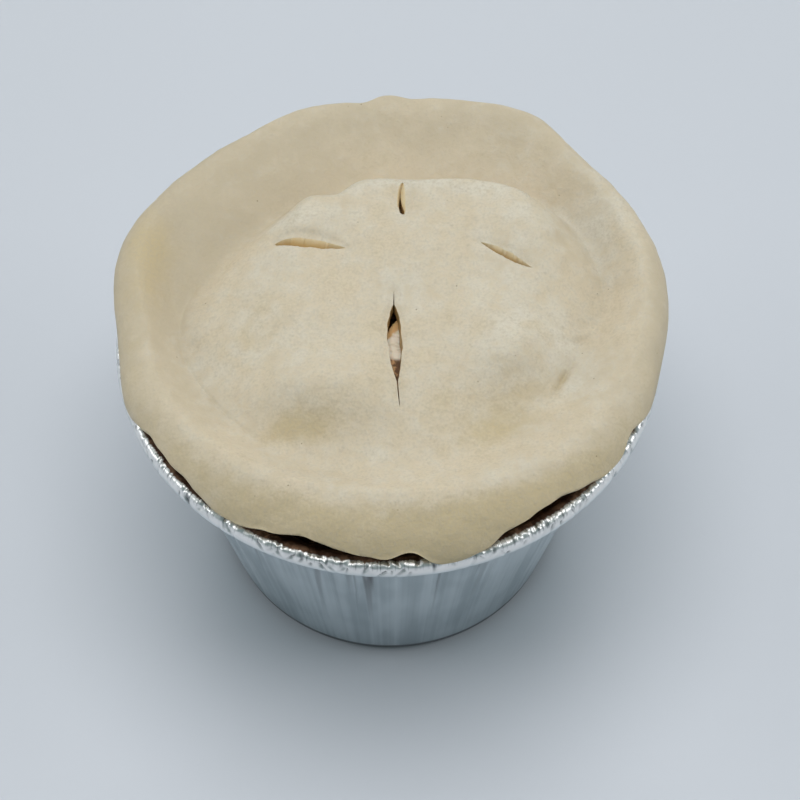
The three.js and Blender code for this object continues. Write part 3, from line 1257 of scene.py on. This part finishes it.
        # Brown grease, partly a painted reflection of the shaded dough.
        lag = self.stain_and_reflection_lag.at(np.arctan2(points[:, 1], points[:, 0]))
        keep_mask(mesh, Mask.GREASE_AND_REFLECTION, smooth_step(turned - lag, *self.stain_and_reflection_turns))
        return show("foil_cup_dressed", mesh)


@dataclass
class LidForm:
    """The heights of the lid's faces, shared by the lid and the filling below it."""

    rim_height: float
    thickness: float = 3.0
    mound_top: float = 12.4
    mound_softness: float = 0.15
    slope_softness: float = 0.25
    crest_start: float = 0.88
    crest_softness: float = 0.1
    seat_radius: float = 44.0
    seat_height: float = 1.0
    outer: Swells = Swells(
        51.2,
        (
            (58, 13, 2.4), (47, 6, -0.5), (30, 9, 0.5), (13, 15, 1.2), (-12, 9, -0.5),
            (160, 14, 1.6), (184, 10, -1.1), (95, 14, -1.6), (92, 5, 0.8), (84, 3, -0.4),
            (90, 3, 0.5), (96, 3, -0.7), (124, 13, -1.4), (138, 6, -0.6), (150, 8, -0.6),
            (-168, 8, -0.7),
        ),
    )
    edge_width: Swells = Swells(3.2, ((90, 45, -1.4), (180, 40, 1.5), (0, 35, 0.9), (-90, 56, 7.2)))
    crest: Swells = Swells(10.2, ((58, 14, 0.8), (157, 14, 0.5), (-90, 50, 0.8)))
    foot: Swells = Swells(
        34.5,
        (
            (33, 22, 5.5), (5, 16, 4.6), (85, 26, -3.2), (112, 8, -3.2),
            (140, 26, -3.4), (185, 24, 4.0), (-135, 26, 1.3), (-45, 30, -2.2),
        ),
    )
    slope_width: Swells = Swells(26.0, ((50, 48, -20.0), (125, 45, -18.0), (-90, 60, 4.0)))
    trough: Swells = Swells(3.6, ((90, 45, -2.0), (-90, 45, 3.0)))
    lumps: tuple[Lump, ...] = (
        Lump(-12.5, -19.5, 11.5, 6.2, 0, 3.9),
        Lump(24, -11, 9.5, 6.5, 30, 3.9),
        Lump(25, 4, 7, 6, 0, -0.8),
        Lump(2, -14, 4, 14, 0, -0.7),
        Lump(-15, 17.5, 9, 4.5, 10, 1.3),
        Lump(23, 17, 12, 6, -25, 0.9),
        Lump(3, 12, 9, 9, 0, 0.8),
        Lump(-41, 8, 3.5, 11, 0, -1.8),
    )

    def lump_height(self, radius: np.ndarray, angle: np.ndarray) -> np.ndarray:
        """Height of the lumps that press up through the dough."""
        x, y = radius * np.cos(angle), radius * np.sin(angle)
        return total_rise(self.lumps, x, y)

    def mound_rise(self, radius: np.ndarray, angle: np.ndarray, foot: np.ndarray) -> np.ndarray:
        """Share of the mound's height reached at a place, convex, from a soft crease at its foot.

        Args:
            radius: Distance from the middle.
            angle: Angles in radians.
            foot: Radius of the mound's foot.

        Returns:
            Numbers from 0 to 1.
        """
        depth = (foot - radius) / self.slope_width.at(angle)
        return 1.0 - (1.0 - np.minimum(soft_climb(depth, self.mound_softness), 1.0)) ** 2

    def ring_climb(self, along: np.ndarray) -> np.ndarray:
        """Share of the ring's height reached at a place, from the soft crease to the level crest.

        Args:
            along: Place on the slope, 0 at the mound's foot and 1 at the crest.

        Returns:
            Numbers from about 0 to 1.
        """

        def climb(place: np.ndarray) -> np.ndarray:
            """Height climbed, before it is scaled to 1 at the crest."""
            levelled = soft_climb(place - self.crest_start, self.crest_softness)
            return soft_climb(place, self.slope_softness) - levelled

        return climb(along) / climb(np.ones(1))

    def crest_radius(self, angle: np.ndarray) -> np.ndarray:
        """Radius of the rim's highest line."""
        return self.outer.at(angle) - self.edge_width.at(angle)

    def top(self, radius: np.ndarray, angle: np.ndarray) -> np.ndarray:
        """Height of the upper face: the rim slopes to the trough, then the mound rises.

        Args:
            radius: Distance from the middle.
            angle: Angles in radians.

        Returns:
            Heights in millimetres.
        """
        foot, trough = self.foot.at(angle), self.trough.at(angle)
        mound = (self.mound_top - trough) * self.mound_rise(radius, angle, foot)
        climb = self.ring_climb((radius - foot) / (self.crest_radius(angle) - foot))
        slope = (self.crest.at(angle) - trough) * climb
        return self.rim_height + trough + slope + mound + self.lump_height(radius, angle)

    def under(self, radius: np.ndarray, angle: np.ndarray) -> np.ndarray:
        """Height of the lower face: one thickness under the mound, then level out to the seat.

        Args:
            radius: Distance from the middle.
            angle: Angles in radians.

        Returns:
            Heights in millimetres.
        """
        foot = self.foot.at(angle)
        trough = self.trough.at(angle) - self.thickness
        rise = self.mound_rise(radius, angle, foot - self.thickness)
        mound = (self.mound_top - trough - self.thickness) * rise
        outwards = np.maximum(0.0, (radius - foot) / (self.seat_radius - foot))
        seat = (self.seat_height - trough) * outwards
        spread = np.clip((foot - radius) / self.thickness, 0.0, 1.0)
        return self.rim_height + trough + mound + seat + spread * self.lump_height(radius, angle)


@dataclass
class Filling:
    """The filling that fills the cup, sunk under the widest slit round a piece of chicken."""

    form: LidForm
    cup: FoilCup
    gap: float = 0.3
    around: int = 360
    rows: int = 90
    seat_rows: int = 8
    wall_rows: int = 12
    sag: Lump = Lump(1.4, -0.4, 6.0, 4.2, 0, -6.0)
    chicken: Lump = Lump(1.9, -8.0, 4.4, 3.4, 6, 1.6)
    seared: Lump = Lump(2.5, -3.9, 6.0, 2.2, 68, 5.5)
    morsels: tuple[Lump, ...] = (
        Lump(2.6, -15.0, 2.2, 2.4, 0, 1.2),
        Lump(0.2, -16.2, 1.8, 1.8, 0, 1.0),
        Lump(3.4, -12.6, 1.6, 1.3, 30, 0.8),
    )
    sear_line: float = -5.5
    sear_slant: float = 0.9
    sear_band: Span = (-0.8, 1.6)
    flesh_gain: float = 1.3
    flesh_edge: float = 0.2
    grain: float = 0.35
    grain_size: float = 1.4
    grain_seed: float = 3.0
    grain_reach: float = 8.0

    def build(self) -> bpy.types.Object:
        """Makes the filling, with its top kept just under the dough.

        Returns:
            The dressed filling.
        """
        angles = turn_angles(self.around)
        floor = self.cup.foil + self.gap
        skin = Skin(angles, 0.0, floor)
        foot = self.form.foot.at(angles)

        def lower(radius: np.ndarray) -> np.ndarray:
            """Finds the filling's top.

            Args:
                radius: Radius of a ring, one number for each angle.

            Returns:
                Heights in millimetres.
            """
            x, y = radius * np.cos(angles), radius * np.sin(angles)
            raised = sum(lump.dome(x, y) for lump in (self.chicken, self.seared, *self.morsels))
            top = self.form.under(radius, angles) - self.gap
            return np.minimum(top, top + self.sag.rise(x, y) + raised)

        skin.start = float(lower(np.zeros(self.around))[0])
        for row in range(1, self.rows + 1):
            radius = foot * row / self.rows
            skin.add(radius, lower(radius))
        for row in range(1, self.seat_rows + 1):
            radius = foot + (self.form.seat_radius - foot) * row / self.seat_rows
            skin.add(radius, lower(radius))
        clearance = self.cup.foil + self.cup.pleat_depth + self.cup.inner_hollow + self.gap
        wall_foot = self.cup.fillet + floor
        for height in np.linspace(self.cup.wall_top_height, wall_foot, self.wall_rows):
            skin.add(min(self.form.seat_radius, self.cup.wall_radius(height) - clearance), height)
        skin.add(self.cup.base_flat, floor)
        mesh = skin.mesh("filling_skin")
        points = mesh_points(mesh)
        x, y = points[:, 0], points[:, 1]
        meat = np.minimum(self.chicken.spread(x, y), self.seared.spread(x, y))
        keep_mask(mesh, Mask.FLESH, self.flesh_gain * (1.0 - meat) + self.flesh_edge)
        from_line = y - self.sear_line - self.sear_slant * (x - self.chicken.x)
        keep_mask(mesh, Mask.SEAR, smooth_step(from_line, *self.sear_band))
        near = np.exp(-self.sag.spread(x, y) / self.grain_reach)
        roughened = points.copy()
        pits = np.abs(ripple(points, self.grain_size, self.grain_seed))
        roughened[:, 2] -= self.grain * near * pits
        place_points(mesh, roughened)
        mesh.materials.append(MeatFilling().make())
        return show("filling_dressed", mesh)


@dataclass
class PastryLid:
    """The draped raw pastry lid with its thick rim, its mound and four vent slits."""

    form: LidForm
    around: int = 540
    mound_rows: int = 72
    slope_rows: int = 40
    edge_rows: int = 22
    hem_rows: int = 10
    seat_rows: int = 6
    under_rows: int = 14
    edge_flatness: Swells = Swells(1.0, ((-90, 55, 0.3),))
    bulge_level: Swells = Swells(0.42, ((-90, 75, -0.34),))
    hem_trim: Swells = Swells(
        0.0,
        (
            (-150, 6, 0.20), (-140, 9, 0.29), (-127, 7, 0.08), (-108, 13, 0.38), (-93, 6, 0.14),
            (-85, 4, 0.26), (-65, 7, 0.26), (-54, 8, 0.36), (-44, 6, 0.18), (-36, 4, 0.05),
            (-29, 5, 0.29), (-147, 5, 0.06), (-134, 6, 0.08), (-32, 3, 0.08),
        ),
    )
    hem_tuck: Swells = Swells(1.4, ((-90, 50, -0.4),))
    hem_height: float = 2.25
    slits: tuple[Slit, ...] = (
        Slit(
            start=(1.0, 1.2), end=(2.05, -22.6), width=2.7, bow=-0.3,
            start_taper=0.6, end_taper=0.8, deep_taper=1.0, ragged=0.3,
            closing=3.0, shut=0.85, lean=-0.06, seed=2.3,
            start_tail=0.12, end_tail=0.20, hairline=0.12,
        ),
        Slit(
            start=(2.6, 26.2), end=(2.7, 18.3), width=2.7, bow=0.0,
            start_taper=0.5, end_taper=0.5, deep_taper=6.0, ragged=0.2,
            closing=0.9, shut=0.30, lean=-0.20, seed=5.1, shoal=0.3, rounding=0.2,
        ),
        Slit(
            start=(-21.2, 12.5), end=(-7.8, 10.8), width=2.8, bow=0.7,
            start_taper=0.55, end_taper=0.8, deep_taper=1.2, ragged=0.25,
            closing=1.8, shut=0.12, lean=-0.42, seed=7.7, shoal=0.6, rounding=0.15,
        ),
        Slit(
            start=(16.8, 12.3), end=(26.6, 6.9), width=1.8, bow=0.1,
            start_taper=0.9, end_taper=0.9, deep_taper=1.2, ragged=0.2,
            closing=1.4, shut=0.22, lean=-0.36, seed=9.2, shoal=0.6, rounding=0.1,
        ),
    )
    slit_steps: int = 44
    blade_foot: float = 6.0
    blade_over: float = 1.5
    lip_width: float = 0.8
    lip_drop: float = 0.4
    seam_depth: Swells = Swells(0.0, ((-152, 26, 0.28), (-45, 30, 0.12), (12, 14, 0.2)))
    seam_width: float = 0.45
    ring_crowding: float = 1.4
    dents: tuple[Lump, ...] = (
        Lump(32.8, 14.8, 2.6, 1.6, 40, -0.7),
        Lump(31.5, 26.6, 2.4, 1.2, 30, -0.4),
        Lump(-36.4, -7.1, 1.8, 1.4, 0, -0.5),
        Lump(-4.5, 13.3, 4.6, 1.5, 32, 0.45),
        Lump(-28.6, 8.5, 12.0, 2.4, 51, 0.5),
        Lump(31.6, -14.3, 3.8, 0.75, 63, -0.9),
        Lump(33.0, -15.0, 4.2, 1.1, 63, 0.45),
        Lump(35.0, -4.6, 7.0, 0.8, 22, 0.3),
        Lump(35.5, -5.9, 7.0, 0.9, 22, -0.25),
    )
    ripples: tuple[Triple, ...] = ((15.0, 0.35, 1.7), (5.5, 0.22, 4.1), (1.9, 0.08, 7.3))
    facing_band: Span = (-0.2, 0.5)
    sharp_turn: float = 48.0
    hem_ripple: float = 0.25
    hem_ragged_trim: float = 0.05
    hem_ripple_size: float = 3.0
    hem_ripple_seed: float = 2.9
    ring_band: Span = (-3.0, 2.0)
    wall_band: Span = (0.0, 5.0)
    # The ring's damp tone is partly painted shade, strongest on the left ring.
    ring_damp_and_shade: Swells = Swells(0.55, ((165, 40, 0.25), (-90, 65, -0.55), (20, 26, -0.55)))
    # The front wall's moist tone is partly painted shade.
    wall_moist_and_shade: Swells = Swells(0.1, ((-90, 70, 0.75), (-60, 20, 0.5)))
    flour_tone: Swells = Swells(0.15, ((-90, 60, 0.15), (20, 30, 0.15)))
    mound_flour: float = 0.30
    wall_bareness: float = 0.5
    floury_patches: tuple[Lump, ...] = (
        Lump(2.0, 4.0, 4.0, 5.0, 0, 0.35),
        Lump(0.0, 26.5, 14.0, 2.5, 0, 0.6),
        Lump(15.5, 25.2, 7.5, 2.5, -8, 0.7),
        Lump(-17.0, 17.5, 6.0, 2.5, 10, 0.8),
        Lump(33.5, -12.0, 3.5, 8.0, 15, 0.8),
        Lump(25.3, 18.4, 9.0, 4.0, -25, 0.5),
        Lump(-16.0, -9.0, 8.0, 5.0, 0, 0.35),
        Lump(22.0, -6.0, 9.0, 5.0, 20, 0.55),
        Lump(-33.0, -12.0, 4.0, 9.0, 0, 0.25),
        Lump(39.5, 19.0, 4.0, 6.0, 25, 0.6),
        Lump(32.0, -18.0, 5.0, 3.0, 50, 0.6),
        Lump(31.0, 24.5, 3.5, 2.5, -40, 0.8),
    )
    # Moist patches. Those in the troughs in front of the two lumps, and the one in the left ring's
    # hollow, paint shade.
    moist_and_shade_patches: tuple[Lump, ...] = (
        Lump(-16.0, -26.2, 6.5, 2.8, 0, 1.0),
        Lump(19.5, -25.3, 7.0, 3.0, 20, 0.9),
        Lump(-25.0, -5.0, 5.0, 9.0, -20, 0.35),
        Lump(23.0, -18.5, 7.0, 3.0, 35, 0.5),
        Lump(31.6, -14.3, 3.4, 0.8, 63, 0.6),
        Lump(8.0, -20.0, 12.0, 8.0, 0, 0.25),
        Lump(-44.5, 11.0, 4.0, 10.0, 0, 1.0),
    )
    # Damp patches. Those in the left ring's hollow, in the left trough and along the right edge paint
    # shade.
    damp_and_shade_patches: tuple[Lump, ...] = (
        Lump(-43.0, 11.0, 4.5, 11.0, 0, 1.0),
        Lump(-34.0, 10.5, 4.0, 5.0, 0, 0.5),
        Lump(49.5, 8.0, 3.0, 12.0, 0, 0.6),
        Lump(49.5, -14.0, 3.0, 8.0, 0, 0.6),
        Lump(33.0, 14.0, 5.0, 8.0, 20, 0.45),
        Lump(-17.0, 30.0, 10.0, 4.0, 25, 0.45),
    )

    def skin(self) -> Skin:
        """Lays the rings of the lid from the middle of its top, round the hem, to the middle below.

        Returns:
            The rings of the uncut lid.
        """
        form = self.form
        angles = turn_angles(self.around)
        centre, level = np.zeros(1), np.zeros(1)
        skin = Skin(angles, float(form.top(centre, level)[0]), float(form.under(centre, level)[0]))
        foot, crest = form.foot.at(angles), form.crest_radius(angles)
        for row in range(1, self.mound_rows + 1):
            radius = foot * (1.0 - (1.0 - row / self.mound_rows) ** self.ring_crowding)
            skin.add(radius, form.top(radius, angles))
        for row in range(1, self.slope_rows + 1):
            radius = foot + (crest - foot) * (row / self.slope_rows) ** self.ring_crowding
            skin.add(radius, form.top(radius, angles))
        crest_height = form.top(crest, angles)
        circle = np.column_stack((np.cos(angles), np.sin(angles), np.zeros(self.around)))
        ragged = ripple(circle * form.seat_radius, self.hem_ripple_size, self.hem_ripple_seed)
        outer, flatness = form.outer.at(angles), self.edge_flatness.at(angles)
        drop = self.bulge_level.at(angles) * (crest_height - form.rim_height - self.hem_height)
        bulge = form.rim_height + self.hem_height + drop
        trimmed = 1.0 - self.hem_trim.at(angles) - self.hem_ragged_trim * ragged

        def wall(share: float) -> tuple[np.ndarray, np.ndarray]:
            """Follows the outer wall, which is trimmed short where the hem lifts.

            Args:
                share: Share of the wall's curve, 0 at the crest and 1 at the hem.

            Returns:
                Radius and height, one of each for each angle.
            """
            turn = np.clip(math.pi / 2.0 * share * trimmed, 0.0, math.pi / 2.0)
            across, down = np.sin(turn) ** flatness, np.cos(turn) ** flatness
            return crest + (outer - crest) * across, bulge + (crest_height - bulge) * down

        for row in range(1, self.edge_rows + 1):
            skin.add(*wall(row / self.edge_rows))
        edge_radius, edge_height = wall(1.0)
        for row in range(1, self.hem_rows + 1):
            turn = math.pi / 2.0 * row / self.hem_rows
            tucked = self.hem_tuck.at(angles) * (1.0 - math.cos(turn))
            inward = tucked - self.hem_ripple * ragged * math.sin(turn)
            skin.add(edge_radius - inward, edge_height - drop * math.sin(turn))
        for row in range(self.seat_rows, 0, -1):
            radius = foot + (form.seat_radius - foot) * row / self.seat_rows
            skin.add(radius, form.under(radius, angles))
        for row in range(self.under_rows, 0, -1):
            radius = foot * row / self.under_rows
            skin.add(radius, form.under(radius, angles))
        return skin

    def roughen(self, mesh: bpy.types.Mesh) -> None:
        """Presses the mound's seam, dents, slit lips and hand made unevenness into the upper face.

        Args:
            mesh: The uncut lid.
        """
        points, normals = mesh_points(mesh), mesh_normals(mesh)
        x, y = points[:, 0], points[:, 1]
        facing = smooth_step(normals[:, 2], *self.facing_band)
        angle = np.arctan2(y, x)
        from_foot = np.hypot(x, y) - self.form.foot.at(angle)
        drop = total_rise(self.dents, x, y)
        drop = drop - self.seam_depth.at(angle) * np.exp(-((from_foot / self.seam_width) ** 2))
        for slit in self.slits:
            drop = drop - slit.lips(x, y, self.lip_drop, self.lip_width)
        uneven = sum(depth * ripple(points, size, seed) for size, depth, seed in self.ripples)
        points[:, 2] += facing * drop
        place_points(mesh, points + normals * (facing * uneven)[:, None])

    def cutter(self) -> bpy.types.Object:
        """Makes the four leaf shaped blades that open the slits.

        Returns:
            One object with all blades.
        """
        points: list[tuple[float, float, float]] = []
        faces: list[tuple[int, ...]] = []
        steps = self.slit_steps
        count = 2 * steps
        for slit in self.slits:
            first = len(points)
            levels = slit.levels(self.blade_foot, self.blade_over)
            for depth, openness, shift, pinch in levels:
                x, y, share = slit.outline(steps, openness, shift, pinch).T
                z = self.form.top(np.hypot(x, y), np.arctan2(y, x)) - depth * share
                points += (np.column_stack((x, y, z)) * MM).tolist()
            last = first + (len(levels) - 1) * count
            for k in range(steps):
                span = (k, k + 1, (count - k - 1) % count, (count - k) % count)
                span = tuple(dict.fromkeys(span))
                faces.append(tuple(last + corner for corner in span))
                faces.append(tuple(first + corner for corner in reversed(span)))
            for row in range(first, last, count):
                for k in range(count):
                    after = (k + 1) % count
                    faces.append((row + k, row + after, row + count + after, row + count + k))
        mesh = bpy.data.meshes.new("slit_blades")
        mesh.from_pydata(points, [], faces)
        mesh.materials.append(CutDough().make())
        return show("slit_blades", mesh)

    def cut(self, blank: bpy.types.Object) -> bpy.types.Mesh:
        """Opens the slits in the lid.

        Args:
            blank: The uncut lid, which is used up.

        Returns:
            The mesh of the cut lid.
        """
        blades = self.cutter()
        opening = blank.modifiers.new("slits", "BOOLEAN")
        opening.operation = "DIFFERENCE"
        opening.solver = "EXACT"
        opening.material_mode = "TRANSFER"
        opening.object = blades
        graph = bpy.context.evaluated_depsgraph_get()
        mesh = bpy.data.meshes.new_from_object(blank.evaluated_get(graph), depsgraph=graph)
        for used in (blank, blades):
            old = used.data
            bpy.data.objects.remove(used)
            bpy.data.meshes.remove(old)
        return mesh

    def tone(self, mesh: bpy.types.Mesh) -> None:
        """Marks where the dough is floury, moist or damp, the moist and damp tones partly as painted
        shade, and how deep its cut faces lie.

        Args:
            mesh: The cut lid.
        """
        points = mesh_points(mesh)
        x, y = points[:, 0], points[:, 1]
        radius, angle = np.hypot(x, y), np.arctan2(y, x)
        ring = smooth_step(radius - self.form.foot.at(angle), *self.ring_band)
        wall = smooth_step(radius - self.form.crest_radius(angle), *self.wall_band)
        flour = self.mound_flour * (1.0 - ring) + ring * self.flour_tone.at(angle)
        flour = flour - self.wall_bareness * wall + total_rise(self.floury_patches, x, y)
        # Moist tone: soaked dough, partly painted shade on the front wall and in the troughs.
        moist_and_shade = wall * self.wall_moist_and_shade.at(angle) + total_rise(self.moist_and_shade_patches, x, y)
        # Damp tone: darker dough, partly painted shade on the ring.
        damp_and_shade = ring * self.ring_damp_and_shade.at(angle) + total_rise(self.damp_and_shade_patches, x, y)
        deep = (self.form.top(radius, angle) - points[:, 2]) / self.form.thickness
        keep_mask(mesh, Mask.FLOUR, flour)
        keep_mask(mesh, Mask.MOIST_AND_SHADE, moist_and_shade)
        keep_mask(mesh, Mask.DAMP_AND_SHADE, damp_and_shade)
        keep_mask(mesh, Mask.DEEP, deep)

    def build(self) -> bpy.types.Object:
        """Makes the lid.

        Returns:
            The dressed lid.
        """
        mesh = self.skin().mesh("pastry_blank")
        self.roughen(mesh)
        mesh.materials.append(RawDough().make())
        mesh = self.cut(show("pastry_blank", mesh))
        mesh.name = "pastry_lid_skin"
        mesh.shade_smooth()
        mesh.set_sharp_from_angle(angle=math.radians(self.sharp_turn))
        self.tone(mesh)
        return show("pastry_lid_dressed", mesh)


# Studio


def aimed(place: Vector, direction: Vector) -> Matrix:
    """Sets something that looks along its own axis, such as a lamp or a camera.

    Args:
        place: Where it is, in millimetres.
        direction: Where it looks.

    Returns:
        Its setting in the scene.
    """
    turn = direction.to_track_quat("-Z", "Y").to_matrix().to_4x4()
    return Matrix.Translation(place * MM) @ turn


@dataclass(frozen=True)
class Lamp:
    """A round soft lamp aimed at the pie."""

    name: str
    place: Triple
    size: float
    power: float

    def hang(self, aim: Vector) -> None:
        """Puts the lamp in the scene.

        Args:
            aim: The place it shines at, in millimetres.
        """
        light = bpy.data.lights.new(self.name, "AREA")
        light.shape = "DISK"
        light.size = self.size * MM
        light.energy = self.power
        place = Vector(self.place)
        show(self.name, light).matrix_world = aimed(place, aim - place)


@dataclass
class Studio:
    """A pale table among soft lamps above, behind and at both sides, and the camera over it."""

    target: Vector = Vector((2.1, 0.0, 41.08))
    distance: float = 429.4
    elevation: float = 57.28
    lens: float = 99.0
    table_size: float = 6000.0
    lamp_aim: Vector = Vector((0.0, 0.0, 50.0))
    lamps: tuple[Lamp, ...] = (
        Lamp("lamp_above", (0.0, 0.0, 800.0), 540.0, 3.5),
        Lamp("lamp_left", (-800.0, 0.0, 350.0), 500.0, 1.75),
        Lamp("lamp_right", (800.0, 0.0, 350.0), 500.0, 1.9),
        Lamp("lamp_behind", (0.0, 800.0, 350.0), 500.0, 1.25),
    )
    sky: Colour = (0.74, 0.97, 1.0)
    sky_strength: float = 0.225

    def table(self) -> bpy.types.Object:
        """Lays the table.

        Returns:
            The table top.
        """
        half = self.table_size / 2.0 * MM
        corners = [(-half, -half, 0), (half, -half, 0), (half, half, 0), (-half, half, 0)]
        mesh = bpy.data.meshes.new("table_top")
        mesh.from_pydata(corners, [], [(0, 1, 2, 3)])
        mesh.materials.append(PaleTable().make())
        return show("table_top", mesh)

    def light(self) -> None:
        """Hangs the lamps and sets the light of the room."""
        for lamp in self.lamps:
            lamp.hang(self.lamp_aim)
        world = bpy.data.worlds.new("room")
        world.use_nodes = True
        background = world.node_tree.nodes["Background"]
        background.inputs["Color"].default_value = (*self.sky, 1.0)
        background.inputs["Strength"].default_value = self.sky_strength
        bpy.context.scene.world = world

    def camera(self) -> None:
        """Sets the camera at the photograph's viewing angle."""
        tilt = math.radians(self.elevation)
        back = Vector((0.0, -math.cos(tilt), math.sin(tilt)))
        camera = bpy.data.cameras.new("camera")
        camera.lens = self.lens
        holder = show("camera", camera)
        holder.matrix_world = aimed(self.target + back * self.distance, -back)
        bpy.context.scene.camera = holder

    def build(self) -> None:
        """Sets up the table, the light, the camera and plain colour."""
        self.table()
        self.light()
        self.camera()
        bpy.context.scene.view_settings.view_transform = "Standard"


def settle(piece: bpy.types.Object, node: Node) -> None:
    """Lets a piece stand for its solid.

    Args:
        piece: The dressed piece.
        node: The solid that it replaces.
    """
    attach(piece, BODY)
    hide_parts(node.value)
    LOG.info("%s: %d faces for %s", piece.name, len(piece.data.polygons), node.value)


def main() -> None:
    """Builds the pie's pieces in order, then the studio."""
    logging.basicConfig(level=logging.INFO, format="%(name)s %(message)s")
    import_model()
    cup = FoilCup()
    form = LidForm(rim_height=cup.rim_height)
    settle(cup.build(), Node.FOIL)
    settle(Filling(form, cup).build(), Node.FILLING)
    settle(PastryLid(form).build(), Node.LID)
    Studio().build()


if __name__ == "__main__":
    main()
